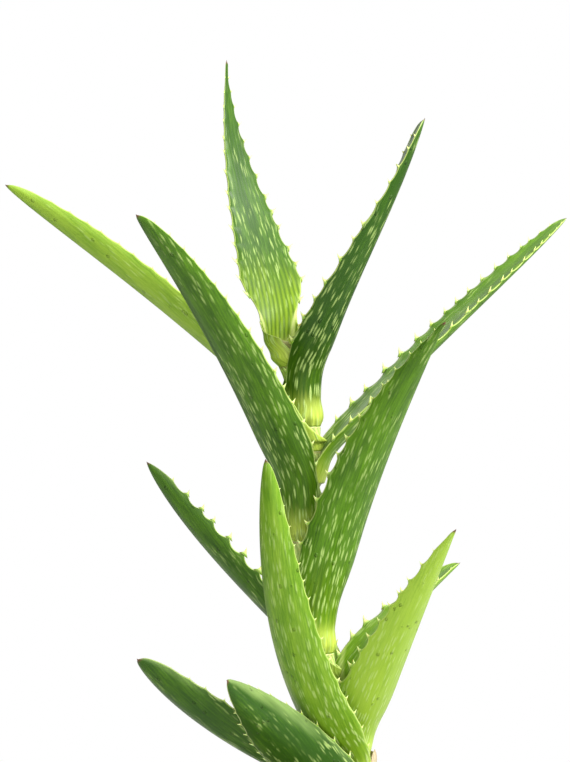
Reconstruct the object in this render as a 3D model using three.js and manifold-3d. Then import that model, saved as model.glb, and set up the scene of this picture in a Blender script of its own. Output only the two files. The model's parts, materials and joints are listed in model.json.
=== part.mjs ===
// A climbing aloe growing in a plain clay pot.
//
// Lengths are millimetres, angles are degrees and +Z is up. The pot stands on z = 0 with its axis
// on the Z axis. The stem leans out of the soil, and every leaf clasps it with a short sheath, as
// an aloe's leaves do, before the blade bends away. A leaf's back is its round, lower side.
// The plant is modelled from the level of the soil, and moves with it.
import * as THREE from 'three';
import { mergeVertices } from 'three/addons/utils/BufferGeometryUtils.js';
import Module from 'manifold-3d';

const wasm = await Module();
wasm.setup();

// ---------------------------------------------------------------- driving dimensions

const POT = {
  height: 110,
  footRadius: 44,
  mouthRadius: 63,
  wall: 5,
  floor: 7,
  rimHeight: 24,
  rimStep: 3,
  edge: 1.5,
  holes: 3,
  holeRadius: 5,
  holeCircle: 24,
};

// The soil's level at the wall of the pot, how far it rises to the stem, how much of that rise it
// has made half way in, and the gap that keeps it a piece of its own beside the pot and the stem.
const SOIL = { belowRim: 14, mound: 2, halfWay: 0.75, mouldGap: 0.4 };
const SOIL_LEVEL = POT.height - SOIL.belowRim;

// Facets round each turned piece, and the halvings that find a height on the stem.
const FACETS = { pot: 64, soil: 48, hole: 20, halvings: 30 };

// Heights on the plant are above the level of the soil, so the foot is under it.
const STEM = { footRadius: 7, topRadius: 5, foot: -36, top: 250, sides: 12, step: 15 };

// Height and sideways place of the stem's middle, from its foot in the soil to its growing end.
const STEM_LINE = [
  [-36, 0],
  [34, 0],
  [54, -2],
  [74, -6],
  [99, -14],
  [121, -18],
  [144, -23],
  [166, -25.5],
  [189, -24],
  [211, -22.5],
  [226, -25],
  [241, -30],
  [254, -35],
];

// How a leaf leaves the stem: its sheath stands off the stem by `clearance`, wraps it to `wrap`
// either side of the leaf's middle, and opens, bends, widens and thickens over these lengths. It
// has made room for the sheath above by `tucked`, and its slope changes mostly near the tip, by
// the power `sag`. `touch` is the gap that is kept where a sheath meets the stem or another leaf.
const CLASP = {
  clearance: 1,
  touch: 0.3,
  wall: 1.2,
  wrap: 168,
  opening: 3.5,
  bend: 18,
  widening: 28,
  thickening: 35,
  tucked: 6,
  sag: 1.2,
};

// A leaf's thin edge, the points across one face of a section, the smallest crumb that is kept and
// the share of its width left at the blunt tip. `lens` is how round the flesh is between margins,
// and `thinning` the power by which it thins as the leaf narrows.
const MARGIN = { thickness: 0.5, points: 8, crumb: 0.003, tip: 0.06, lens: 0.8, thinning: 0.8 };

// Where a leaf has sections: lengths from the start of its bend, as far as they are within `bend`
// of its length, then shares of the blade that is left. The backbone is walked in steps of `walk`.
const SECTIONS = {
  bends: [0.6, 1.2, 2, 3, 4.3, 6.2, 10, 15, 21, 28],
  bend: 0.55,
  blade: [0.15, 0.3, 0.45, 0.6, 0.74, 0.86, 0.94, 0.985],
  walk: 1,
};

// One row for each leaf, from the top of the plant down. `height` is where the blade starts to
// bend away, `azimuth` the side it grows on, `rise` and `tipRise` its slope above level after the
// bend and at the tip, `veer` how far it swings sideways, `roll` how far it twists, `cup` half the
// angle of its round back, `taper` and `point` how it narrows. `tuck` is the room for the sheath
// of the leaf above, where that one sits close.
const LEAVES = [
  { name: 'leaf_01', height: 252, azimuth: 102, rise: 47, tipRise: 93, veer: 55, roll: -10,
    length: 133, width: 30, thickness: 4, cup: 26, taper: 1.9, point: 1.1, sheath: 12, tuck: 0 },
  { name: 'leaf_02', height: 227, azimuth: -64, rise: 52, tipRise: 73, veer: 80, roll: 0,
    length: 127, width: 22, thickness: 5, cup: 62, taper: 2, point: 0.52, sheath: 12, tuck: 1 },
  { name: 'leaf_03', height: 208.6, azimuth: 180, rise: 44, tipRise: 35, veer: 15, roll: 40,
    length: 160, width: 22, thickness: 5, cup: 62, taper: 1.75, point: 0.57, sheath: 4, tuck: 2.5 },
  { name: 'leaf_04', height: 191, azimuth: 8, rise: 47, tipRise: 30, veer: 45, roll: 0,
    length: 180, width: 19.5, thickness: 5, cup: 62, taper: 1.65, point: 0.57, sheath: 4, tuck: 1.8 },
  { name: 'leaf_05', height: 181, azimuth: 233, rise: 57, tipRise: 43, veer: -8, roll: 15,
    length: 149, width: 25, thickness: 6, cup: 62, taper: 1.6, point: 0.55, sheath: 14, tuck: 1.8 },
  { name: 'leaf_06', height: 130, azimuth: -42, rise: 76, tipRise: 47, veer: -5, roll: -27,
    length: 144, width: 32, thickness: 6, cup: 62, taper: 1.95, point: 0.95, sheath: 10, tuck: 1 },
  { name: 'leaf_07', height: 112.8, azimuth: 182, rise: 45, tipRise: 57, veer: 12, roll: 47,
    length: 109, width: 21.5, thickness: 5, cup: 62, taper: 1.75, point: 0.66, sheath: 4, tuck: 2.5 },
  { name: 'leaf_08', height: 99, azimuth: 19, rise: 49, tipRise: 37, veer: 4, roll: 4,
    length: 78, width: 22, thickness: 5, cup: 62, taper: 1.85, point: 0.58, sheath: 4, tuck: 1.8 },
  { name: 'leaf_09', height: 88, azimuth: 118, rise: 58, tipRise: 45, veer: 10, roll: 0,
    length: 80, width: 21, thickness: 5, cup: 62, taper: 1.9, point: 0.6, sheath: 4, tuck: 2.5 },
  { name: 'leaf_10', height: 75, azimuth: -56.5, rise: 58, tipRise: 55, veer: 5, roll: 0,
    length: 118, width: 29, thickness: 6, cup: 62, taper: 1.75, point: 0.83, sheath: 4, tuck: 1.8 },
  { name: 'leaf_11', height: 66, azimuth: 237, rise: 40, tipRise: 88, veer: 14, roll: -15,
    length: 156, width: 25, thickness: 6, cup: 62, taper: 1.7, point: 0.57, sheath: 4, tuck: 2.5 },
  { name: 'leaf_12', height: 50.2, azimuth: 196, rise: 23, tipRise: 49, veer: 0, roll: 45,
    length: 112, width: 27, thickness: 5, cup: 62, taper: 2, point: 0.53, sheath: 4, tuck: 2.5 },
  { name: 'leaf_13', height: 40, azimuth: 232, rise: 50, tipRise: 29, veer: 6, roll: 105,
    length: 118, width: 28, thickness: 6, cup: 62, taper: 1.7, point: 0.63, sheath: 4, tuck: 1.8 },
  { name: 'leaf_14', height: 31, azimuth: 95, rise: 24, tipRise: 5, veer: 0, roll: 0,
    length: 105, width: 25, thickness: 6, cup: 62, taper: 1.9, point: 0.56, sheath: 4, tuck: 1.8 },
  { name: 'leaf_15', height: 22, azimuth: -45, rise: 30, tipRise: 8, veer: 0, roll: 0,
    length: 110, width: 25, thickness: 6, cup: 62, taper: 1.9, point: 0.56, sheath: 4, tuck: 1.8 },
  { name: 'leaf_16', height: 14, azimuth: 170, rise: 30, tipRise: 0, veer: 0, roll: 0,
    length: 100, width: 25, thickness: 6, cup: 62, taper: 1.9, point: 0.56, sheath: 4, tuck: 1.8 },
];

// What is left of dead leaves: papery sheaths that still hug the stem, shaped like short leaves.
const DRY_SHEATHS = [
  { name: 'dry_sheath_1', height: 58, azimuth: 0, rise: 84, tipRise: 75, veer: 0, roll: 0,
    length: 24, width: 16, thickness: 1, cup: 50, taper: 3, point: 0.5, sheath: 3, tuck: 2.6 },
  { name: 'dry_sheath_2', height: 6, azimuth: 265, rise: 80, tipRise: 60, veer: 0, roll: 0,
    length: 18, width: 16, thickness: 1, cup: 50, taper: 3, point: 0.5, sheath: 2.5, tuck: 1 },
];

// ---------------------------------------------------------------- materials

function material(colour, roughness) {
  return new THREE.MeshStandardMaterial({ color: colour, roughness, metalness: 0 });
}

const CLAY = material('#b5653f', 0.85);
const EARTH = material('#3d2c20', 0.95);
const STEM_SKIN = material('#b9bf86', 0.6);
const LEAF_SKIN = material('#4f7a2a', 0.4);
const DRY_SKIN = material('#a38f68', 0.9);

// ---------------------------------------------------------------- shared helpers

const radians = THREE.MathUtils.degToRad;

// Goes from 0 to 1 over `span`, level at both ends.
function ease(along, span) {
  return THREE.MathUtils.smoothstep(along, 0, span);
}

// Merges a geometry's corners and drops the slivers at its poles, as a list for a closed solid.
function closedMesh(geometry) {
  const bare = geometry.clone();
  bare.deleteAttribute('normal');
  bare.deleteAttribute('uv');
  const merged = mergeVertices(bare, 1e-4);
  const corners = merged.index.array;
  const kept = [];
  for (let i = 0; i < corners.length; i += 3) {
    const [a, b, c] = [corners[i], corners[i + 1], corners[i + 2]];
    if (a !== b && b !== c && c !== a) kept.push(a, b, c);
  }
  return { vertices: merged.attributes.position.array, triangles: new Uint32Array(kept) };
}

function solid(geometry) {
  const { vertices, triangles } = closedMesh(geometry);
  const vertProperties = new Float32Array(vertices);
  return new wasm.Manifold(new wasm.Mesh({ numProp: 3, vertProperties, triVerts: triangles }));
}

function geometryOf(manifold) {
  const mesh = manifold.getMesh();
  const geometry = new THREE.BufferGeometry();
  geometry.setAttribute('position', new THREE.BufferAttribute(mesh.vertProperties, 3));
  geometry.setIndex(new THREE.BufferAttribute(mesh.triVerts, 1));
  geometry.computeVertexNormals();
  return geometry;
}

function piece(name, geometry, skin) {
  const mesh = new THREE.Mesh(geometry, skin);
  mesh.name = name;
  return mesh;
}

// Turns a profile of [radius, height] points about the Z axis.
function turned(profile, segments) {
  const points = profile.map(([radius, height]) => new THREE.Vector2(radius, height));
  return new THREE.LatheGeometry(points, segments).rotateX(Math.PI / 2);
}

// Skins a row of rings, each with the same number of points, into side faces.
function sideFaces(ringCount, pointCount) {
  const faces = [];
  for (let ring = 0; ring + 1 < ringCount; ring += 1) {
    for (let i = 0; i < pointCount; i += 1) {
      const next = (i + 1) % pointCount;
      const low = ring * pointCount;
      const high = low + pointCount;
      faces.push(low + i, low + next, high + next, low + i, high + next, high + i);
    }
  }
  return faces;
}

function lofted(points, faces) {
  const geometry = new THREE.BufferGeometry().setFromPoints(points);
  geometry.setIndex(faces);
  geometry.computeVertexNormals();
  return geometry;
}

// ---------------------------------------------------------------- pot

function outerRadius(height) {
  const share = height / POT.height;
  return POT.footRadius + (POT.mouthRadius - POT.rimStep - POT.footRadius) * share;
}

function innerRadius(height) {
  return outerRadius(height) - POT.wall;
}

function potGeometry() {
  const { height, floor, rimHeight, edge } = POT;
  const rimFoot = height - rimHeight;
  const rimRadius = outerRadius(rimFoot) + POT.rimStep;
  const body = turned([
    [0, 0],
    [POT.footRadius - edge, 0],
    [outerRadius(edge), edge],
    [outerRadius(rimFoot), rimFoot],
    [rimRadius, rimFoot + edge],
    [POT.mouthRadius, height - edge],
    [POT.mouthRadius - edge, height],
    [innerRadius(height) + edge, height],
    [innerRadius(height - edge), height - edge],
    [innerRadius(floor + 2 * edge), floor + 2 * edge],
    [innerRadius(floor) - 2 * edge, floor],
    [0, floor],
  ], FACETS.pot);
  let pot = solid(body);
  for (let i = 0; i < POT.holes; i += 1) {
    const drill = new THREE.CylinderGeometry(
      POT.holeRadius, POT.holeRadius, 4 * floor, FACETS.hole);
    const angle = (i / POT.holes) * 2 * Math.PI;
    drill.rotateX(Math.PI / 2);
    drill.translate(POT.holeCircle * Math.cos(angle), POT.holeCircle * Math.sin(angle), floor / 2);
    pot = pot.subtract(solid(drill));
  }
  return geometryOf(pot);
}

// ---------------------------------------------------------------- stem and soil

const stemCurve = new THREE.CatmullRomCurve3(
  STEM_LINE.map(([height, side]) => new THREE.Vector3(side, 0, height)), false, 'centripetal');

// The stem's middle at a height, found by halving along its curve.
function stemMiddle(height) {
  let low = 0;
  let high = 1;
  for (let i = 0; i < FACETS.halvings; i += 1) {
    const middle = (low + high) / 2;
    if (stemCurve.getPoint(middle).z < height) low = middle;
    else high = middle;
  }
  return new THREE.Vector3(stemCurve.getPoint(low).x, 0, height);
}

function stemRadius(height) {
  const share = (height - STEM.foot) / (STEM.top - STEM.foot);
  return STEM.footRadius + (STEM.topRadius - STEM.footRadius) * share;
}

function stemGeometry(extra) {
  const steps = Math.round((STEM.top - STEM.foot) / STEM.step);
  const points = [];
  for (let step = 0; step <= steps; step += 1) {
    const height = STEM.foot + (STEM.top - STEM.foot) * (step / steps);
    const middle = stemMiddle(height);
    for (let side = 0; side < STEM.sides; side += 1) {
      const angle = (side / STEM.sides) * 2 * Math.PI;
      const radius = stemRadius(height) + extra;
      points.push(new THREE.Vector3(radius * Math.cos(angle), radius * Math.sin(angle), 0).add(middle));
    }
  }
  const faces = sideFaces(steps + 1, STEM.sides);
  const last = steps * STEM.sides;
  for (let side = 1; side + 1 < STEM.sides; side += 1) {
    faces.push(0, side + 1, side);
    faces.push(last, last + side, last + side + 1);
  }
  return lofted(points, faces);
}

function soilGeometry() {
  const gap = SOIL.mouldGap;
  const bottom = POT.floor + gap;
  const surface = SOIL_LEVEL;
  const shoulder = POT.floor + 2 * POT.edge;
  const body = turned([
    [0, bottom],
    [innerRadius(POT.floor) - 2 * POT.edge - gap, bottom],
    [innerRadius(shoulder) - gap, shoulder + gap],
    [innerRadius(surface) - gap, surface],
    [innerRadius(surface) / 2, surface + SOIL.halfWay * SOIL.mound],
    [0, surface + SOIL.mound],
  ], FACETS.soil);
  const stemRoom = stemGeometry(gap).translate(0, 0, SOIL_LEVEL);
  return geometryOf(solid(body).subtract(solid(stemRoom)));
}

// ---------------------------------------------------------------- leaves

// Lengths along a leaf, measured from where its blade starts to bend, at which it has a section.
function stations(leaf) {
  const bends = SECTIONS.bends.filter((along) => along < SECTIONS.bend * leaf.length);
  const start = bends[bends.length - 1];
  const blade = SECTIONS.blade.map((share) => start + (leaf.length - start) * share);
  return [-leaf.sheath, 0, ...bends, ...blade];
}

// The leaf's own axes at a length along it: where it heads, its side and its back.
function leafAxes(leaf, along) {
  const share = Math.max(along, 0) / leaf.length;
  const bent = ease(along, CLASP.bend);
  const sag = (leaf.tipRise - leaf.rise) * share ** CLASP.sag;
  const slope = radians(90 - (90 - leaf.rise) * bent + sag);
  const heading = radians(leaf.azimuth + leaf.veer * share);
  const level = new THREE.Vector3(Math.cos(heading), Math.sin(heading), 0);
  const up = new THREE.Vector3(0, 0, 1);
  const ahead = level.clone().multiplyScalar(Math.cos(slope)).addScaledVector(up, Math.sin(slope));
  const back = level.clone().multiplyScalar(Math.sin(slope)).addScaledVector(up, -Math.cos(slope));
  const side = new THREE.Vector3().crossVectors(ahead, back);
  const twist = radians(leaf.roll * share);
  return { ahead, back: back.applyAxisAngle(ahead, twist), side: side.applyAxisAngle(ahead, twist) };
}

// The share of its full width that the leaf has there, down to a blunt little tip.
function narrowing(leaf, along) {
  const share = Math.max(along, 0) / leaf.length;
  return Math.max((1 - share ** leaf.taper) ** leaf.point, MARGIN.tip);
}

// Room for the sheath above, which the leaf reaches just over its own sheath.
function tuckAt(leaf, along) {
  return leaf.tuck * ease(along + leaf.sheath, leaf.sheath + CLASP.tucked);
}

// The line down the middle of the leaf's back. It follows the stem up the sheath, then the blade.
function backLine(leaf, alongs) {
  const outward = leafAxes(leaf, 0).back;
  const stand = stemRadius(leaf.height) + CLASP.clearance + CLASP.wall;
  const line = [];
  const cursor = stemMiddle(leaf.height).addScaledVector(outward, stand);
  let reached = 0;
  for (const along of alongs) {
    if (along <= 0) {
      line.push(stemMiddle(leaf.height + along).addScaledVector(outward, stand + tuckAt(leaf, along)));
      continue;
    }
    while (reached < along) {
      const stride = Math.min(SECTIONS.walk, along - reached);
      cursor.addScaledVector(leafAxes(leaf, reached + stride / 2).ahead, stride);
      reached += stride;
    }
    line.push(cursor.clone().addScaledVector(outward, tuckAt(leaf, along)));
  }
  return line;
}

// One section: the round back from margin to margin, then the hollow front the other way. It can
// be grown by `extra` all round, for cutting room for this leaf out of its neighbours.
function section(leaf, along, middle, extra) {
  const { back, side } = leafAxes(leaf, along);
  const cup = radians(leaf.cup);
  const narrow = narrowing(leaf, along);
  const spread = cup + (radians(CLASP.wrap) - cup) * Math.exp(-Math.max(along, 0) / CLASP.opening);
  const sheathRadius = stemRadius(leaf.height) + CLASP.clearance + CLASP.wall + tuckAt(leaf, along);
  const bladeRadius = leaf.width / 2 / Math.sin(cup) + tuckAt(leaf, along);
  const widened = ease(along, CLASP.widening);
  const radius = (sheathRadius + (bladeRadius - sheathRadius) * widened) * narrow;
  const thickened = ease(along, CLASP.thickening);
  const thickness = (CLASP.wall + (leaf.thickness - CLASP.wall) * thickened) * narrow ** MARGIN.thinning;
  const margin = MARGIN.thickness * narrow;
  const lens = MARGIN.lens * ease(along, CLASP.bend);
  const outer = [];
  const inner = [];
  for (let i = 0; i < MARGIN.points; i += 1) {
    const across = (2 * i) / (MARGIN.points - 1) - 1;
    const angle = across * (spread + extra / radius);
    const depth = margin + (thickness - margin) * Math.max(1 - across ** 2, 0) ** lens;
    const normal = side.clone().multiplyScalar(Math.sin(angle)).addScaledVector(back, Math.cos(angle));
    const centre = middle.clone().addScaledVector(back, -radius);
    outer.push(centre.clone().addScaledVector(normal, radius + extra));
    inner.unshift(centre.clone().addScaledVector(normal, radius - depth - extra));
  }
  return [...outer, ...inner];
}

function leafGeometry(leaf, extra) {
  const alongs = stations(leaf);
  alongs[0] -= extra;
  const line = backLine(leaf, [...alongs, leaf.length + extra]);
  const sections = alongs.map((along, i) => section(leaf, along, line[i], extra));
  const count = 2 * MARGIN.points;
  const points = [...sections.flat(), line[line.length - 1]];
  const faces = sideFaces(sections.length, count);
  for (let i = 0; i + 1 < MARGIN.points; i += 1) {
    const [a, b, c, d] = [i, i + 1, count - 2 - i, count - 1 - i];
    faces.push(a, c, b, a, d, c);
  }
  const last = (sections.length - 1) * count;
  const tip = points.length - 1;
  for (let i = 0; i < count; i += 1) faces.push(last + i, last + ((i + 1) % count), tip);
  return lofted(points, faces);
}

// Cuts each sheath and leaf clear of the stem and of every leaf that leaves the stem above it, and
// keeps the grown piece that is left, without the crumbs cut loose from its margins.
function growLeaves(leaves) {
  const cutters = [solid(stemGeometry(CLASP.touch))];
  const pieces = [];
  for (const leaf of leaves) {
    let body = solid(leafGeometry(leaf, 0));
    for (const cutter of cutters) body = body.subtract(cutter);
    body = body.simplify(MARGIN.crumb);
    const [main] = body.decompose().sort((a, b) => b.volume() - a.volume());
    pieces.push({ leaf, geometry: geometryOf(main) });
    cutters.push(solid(leafGeometry(leaf, CLASP.touch)));
  }
  return pieces;
}

// ---------------------------------------------------------------- assembly

const plant = new THREE.Group();
plant.add(piece('stem', stemGeometry(0), STEM_SKIN));
const topDown = [...LEAVES, ...DRY_SHEATHS].sort((a, b) => b.height - a.height);
for (const { leaf, geometry } of growLeaves(topDown)) {
  plant.add(piece(leaf.name, geometry, DRY_SHEATHS.includes(leaf) ? DRY_SKIN : LEAF_SKIN));
}
plant.position.z = SOIL_LEVEL;

const pottedPlant = new THREE.Group();
pottedPlant.add(piece('pot', potGeometry(), CLAY));
pottedPlant.add(piece('soil', soilGeometry(), EARTH));
pottedPlant.add(plant);

export default pottedPlant;
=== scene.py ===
# %% [markdown]
# # A potted aloe, dressed for its portrait
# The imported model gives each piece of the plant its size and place: a clay pot, its soil, a leaning
# stem, sixteen toothed leaves and two dry sheaths. Its leaves are coarse facets. Here each one is
# read back from its facets as a backbone and a few widths, and grown again as smooth, fleshy skin.

# %% Load the frame
import json

import bpy
import numpy as np
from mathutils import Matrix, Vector

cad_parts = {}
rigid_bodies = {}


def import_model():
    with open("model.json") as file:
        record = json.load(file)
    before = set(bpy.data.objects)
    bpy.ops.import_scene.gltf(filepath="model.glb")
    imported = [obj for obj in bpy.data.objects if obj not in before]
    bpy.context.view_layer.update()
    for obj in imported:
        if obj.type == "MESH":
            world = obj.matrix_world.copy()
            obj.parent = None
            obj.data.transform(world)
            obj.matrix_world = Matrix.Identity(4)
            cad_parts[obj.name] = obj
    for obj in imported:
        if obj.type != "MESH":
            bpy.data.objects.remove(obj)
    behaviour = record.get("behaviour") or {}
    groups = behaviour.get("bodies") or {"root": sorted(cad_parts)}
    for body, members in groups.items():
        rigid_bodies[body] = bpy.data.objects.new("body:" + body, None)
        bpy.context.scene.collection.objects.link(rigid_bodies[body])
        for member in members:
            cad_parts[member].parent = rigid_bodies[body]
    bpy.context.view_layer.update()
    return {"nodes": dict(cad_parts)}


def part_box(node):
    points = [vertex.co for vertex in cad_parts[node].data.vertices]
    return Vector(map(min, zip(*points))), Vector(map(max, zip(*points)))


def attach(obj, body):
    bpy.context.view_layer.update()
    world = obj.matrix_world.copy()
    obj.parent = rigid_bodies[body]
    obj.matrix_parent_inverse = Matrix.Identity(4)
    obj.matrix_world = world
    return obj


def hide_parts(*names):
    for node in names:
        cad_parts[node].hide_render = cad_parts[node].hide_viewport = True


for leftover in list(bpy.data.objects):
    bpy.data.objects.remove(leftover)
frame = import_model()
MM = 0.001

# %% [markdown]
# ## Camera, floor and light
# The plant is seen level, from about its middle, with a longish lens so that near and far leaves
# keep their true sizes. The floor is a pale disc, small enough to stay out of the camera's view,
# where only white light stands behind the leaves. The key lamp is high in front on the right, a
# weak one stands behind on the left and a low one beside the camera. The rest comes from a sky
# that is brightest high on the right, so that each leaf has a light flank and a dark one.

# %% Camera, floor and light
CAMERA_AT = (-0.0323, -0.9, 0.33)
LENS_MM = 101.2
SENSOR_MM = 36
FLOOR_RADIUS = 0.8
PLANT_MIDDLE = (-0.03, 0, 0.32)
# Each lamp's place, width in metres, watts and colour.
LAMPS = {
    "key": ((0.80, -0.45, 1.05), 0.5, 27, (1, 0.99, 0.96)),
    "back": ((-0.5, 0.8, 0.8), 0.6, 2, (1, 1, 0.97)),
    "front": ((-0.1, -1.05, 0.45), 0.7, 4.5, (1, 1, 0.98)),
}
SKY_FROM = (0.50, -0.20, 0.85)
SKY_BRIGHT = 1.15
SKY_DIM = 0.10
SKY_EDGES = (-0.8, 0.9)  # where it is dim and where bright, from -1 straight away to 1 straight on


def aim(thing, target):
    direction = Vector(target) - thing.location
    thing.rotation_mode = "QUATERNION"
    thing.rotation_quaternion = direction.to_track_quat("-Z", "Y")


def soft_lamp(name, at, size, watts, colour):
    lamp = bpy.data.lights.new(name, "AREA")
    lamp.shape, lamp.size, lamp.energy, lamp.color = "DISK", size, watts, colour
    holder = bpy.data.objects.new(name, lamp)
    bpy.context.scene.collection.objects.link(holder)
    holder.location = at
    aim(holder, PLANT_MIDDLE)


camera_data = bpy.data.cameras.new("camera")
camera_data.lens, camera_data.sensor_width = LENS_MM, SENSOR_MM
camera = bpy.data.objects.new("camera", camera_data)
bpy.context.scene.collection.objects.link(camera)
camera.location = CAMERA_AT
aim(camera, (CAMERA_AT[0], 0, CAMERA_AT[2]))
bpy.context.scene.camera = camera

for name, lamp in LAMPS.items():
    soft_lamp(name, *lamp)


def studio_world():
    """White behind the plant, and around it light that is strongest from one direction."""
    made = bpy.data.worlds.new("studio")
    made.use_nodes = True
    nodes, links = made.node_tree.nodes, made.node_tree.links
    direction = nodes.new("ShaderNodeTexCoord")
    towards = nodes.new("ShaderNodeVectorMath")
    towards.operation = "DOT_PRODUCT"
    towards.inputs[1].default_value = Vector(SKY_FROM).normalized()
    spread = nodes.new("ShaderNodeMapRange")
    for socket, value in enumerate((*SKY_EDGES, SKY_DIM, SKY_BRIGHT), start=1):
        spread.inputs[socket].default_value = value
    path = nodes.new("ShaderNodeLightPath")
    strength = nodes.new("ShaderNodeMix")
    strength.inputs[3].default_value = 1.0
    links.new(direction.outputs["Generated"], towards.inputs[0])
    links.new(towards.outputs["Value"], spread.inputs[0])
    links.new(path.outputs["Is Camera Ray"], strength.inputs[0])
    links.new(spread.outputs[0], strength.inputs[2])
    links.new(strength.outputs[0], nodes["Background"].inputs["Strength"])
    nodes["Background"].inputs["Color"].default_value = (1, 1, 1, 1)
    return made


bpy.context.scene.world = studio_world()
bpy.context.scene.view_settings.view_transform = "Standard"
print("camera at", CAMERA_AT, "lens", LENS_MM)

# %% [markdown]
# ## A small language for finishes
# A finish is a net of shader nodes. Writing it as sums keeps it readable, so `Amount` wraps one
# output and turns `a * b + 1` into Math nodes, and `Finish` makes the nodes of one material. What
# is the same all over is set on the shader's own socket, and only what varies is linked.

# %% Amounts and finishes


class Amount:
    """A number that changes over a surface."""

    def __init__(self, finish, socket):
        self.finish, self.socket = finish, socket

    def maths(self, operation, *numbers):
        return self.finish.node("Math", {"operation": operation}, dict(enumerate(numbers)))

    def __add__(self, other):
        return self.maths("ADD", self, other)

    __radd__ = __add__

    def __sub__(self, other):
        return self.maths("SUBTRACT", self, other)

    def __rsub__(self, other):
        return self.maths("SUBTRACT", other, self)

    def __mul__(self, other):
        return self.maths("MULTIPLY", self, other)

    def size(self):
        return self.maths("ABSOLUTE", self)

    def wave(self):
        return self.maths("SINE", self)

    def rise(self, low, high):
        """0 below `low` and 1 above `high`, or the other way round where `low` is the larger."""
        ends = (low, high, 0.0, 1.0) if low <= high else (high, low, 1.0, 0.0)
        return self.finish.node("MapRange", {"interpolation_type": "SMOOTHSTEP"},
                                dict(enumerate((self, *ends))))


class Finish:
    """One material and the nodes that paint it."""

    def __init__(self, name, **even):
        self.material = bpy.data.materials.new(name)
        self.material.use_nodes = True
        self.tree = self.material.node_tree
        self.shader = self.tree.nodes["Principled BSDF"]
        for socket, value in even.items():
            self.shader.inputs[socket.replace("_", " ")].default_value = value

    def node(self, kind, settings, inputs, output=0):
        made = self.tree.nodes.new("ShaderNode" + kind)
        for name, value in settings.items():
            setattr(made, name, value)
        for place, value in inputs.items():
            if isinstance(value, Amount):
                self.tree.links.new(value.socket, made.inputs[place])
            else:
                made.inputs[place].default_value = value
        return Amount(self, made.outputs[output])

    def paint(self, **links):
        for socket, value in links.items():
            self.tree.links.new(value.socket, self.shader.inputs[socket.replace("_", " ")])

    def mix(self, first, second, share):
        """The first colour, and the second where `share` is 1."""
        ends = {0: share}
        for place, colour in ((6, first), (7, second)):
            ends[place] = colour if isinstance(colour, Amount) else (*colour, 1)
        return self.node("Mix", {"data_type": "RGBA"}, ends, 2)

    def place(self):
        return self.node("TexCoord", {}, {}, "Object")

    def stretched(self, vector, scale):
        return self.node("VectorMath", {"operation": "MULTIPLY"}, {0: vector, 1: scale})

    def stored(self, name):
        """The three numbers of an attribute that the mesh carries, and their vector."""
        vector = self.node("Attribute", {"attribute_name": name}, {}, "Vector")
        return vector, [self.node("SeparateXYZ", {}, {0: vector}, axis) for axis in range(3)]

    def noise(self, vector, scale, detail=2.0):
        return self.node("TexNoise", {}, {"Vector": vector, "Scale": scale, "Detail": detail})

    def cells(self, vector, scale):
        """The distance to the nearest of many scattered points."""
        return self.node("TexVoronoi", {}, {"Vector": vector, "Scale": scale, "Randomness": 1.0})

    def relief(self, height, depth):
        """A bump of `depth` metres where `height` goes from 0 to 1."""
        bumped = self.node("Bump", {}, {"Height": height, "Distance": depth, "Strength": 1.0})
        self.paint(Normal=bumped)


print("finishes: Amount and Finish are ready")

# %% [markdown]
# ## Geometry Nodes helpers
# Repeated things such as teeth and soil crumbs are a rule and not a list, so Geometry Nodes places
# them. Each tree gets named inputs for its sizes. `grown` sets a modifier's inputs by their
# identifiers, takes the evaluated mesh and drops the modifier, which leaves a plain mesh.

# %% Geometry Nodes helpers


class Tree:
    """A Geometry Nodes tree with named inputs."""

    def __init__(self, name, inputs):
        self.tree = bpy.data.node_groups.new(name, "GeometryNodeTree")
        sockets = self.tree.interface
        sockets.new_socket("Geometry", in_out="OUTPUT", socket_type="NodeSocketGeometry")
        sockets.new_socket("Geometry", in_out="INPUT", socket_type="NodeSocketGeometry")
        self.names = {}
        for label, kind in inputs.items():
            made = sockets.new_socket(label, in_out="INPUT", socket_type="NodeSocket" + kind)
            self.names[label] = made.identifier
        self.given = self.tree.nodes.new("NodeGroupInput")
        self.result = self.tree.nodes.new("NodeGroupOutput")

    def input(self, label):
        return self.given.outputs[label]

    def node(self, kind, settings=None, inputs=None):
        """A new node. An input is a value, a socket, or a node whose first output is meant."""
        made = self.tree.nodes.new(kind)
        for name, value in (settings or {}).items():
            setattr(made, name, value)
        for place, value in (inputs or {}).items():
            if isinstance(value, bpy.types.Node):
                value = value.outputs[0]
            if isinstance(value, bpy.types.NodeSocket):
                self.tree.links.new(value, made.inputs[place])
            else:
                made.inputs[place].default_value = value
        return made

    def maths(self, operation, *numbers):
        settings = {"operation": operation}
        return self.node("ShaderNodeMath", settings, dict(enumerate(numbers))).outputs[0]

    def parts(self, vector):
        """The three numbers of a vector."""
        return self.node("ShaderNodeSeparateXYZ", {}, {0: vector}).outputs

    def attribute(self, name, kind):
        made = self.node("GeometryNodeInputNamedAttribute", {"data_type": kind}, {"Name": name})
        return made.outputs["Attribute"]

    def finish(self, geometry, material):
        """Ends the tree: instances made real, their finish set."""
        real = self.node("GeometryNodeRealizeInstances", {}, {0: geometry})
        dressed = self.node("GeometryNodeSetMaterial", {}, {0: real, "Material": material})
        self.tree.links.new(dressed.outputs[0], self.result.inputs[0])


def shown(name, mesh):
    thing = bpy.data.objects.new(name, mesh)
    bpy.context.scene.collection.objects.link(thing)
    return thing


def grown(name, seed_mesh, tree, values):
    """What the tree makes of a mesh, as a plain object of that name."""
    bed = shown(name + "_bed", seed_mesh)
    modifier = bed.modifiers.new("growth", "NODES")
    modifier.node_group = tree.tree
    for label, value in values.items():
        modifier[tree.names[label]] = value
    bpy.context.view_layer.update()
    evaluated = bed.evaluated_get(bpy.context.evaluated_depsgraph_get())
    mesh = bpy.data.meshes.new_from_object(evaluated)
    bed.modifiers.clear()
    bpy.data.objects.remove(bed)
    mesh.name = name
    return shown(name, mesh)


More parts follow.
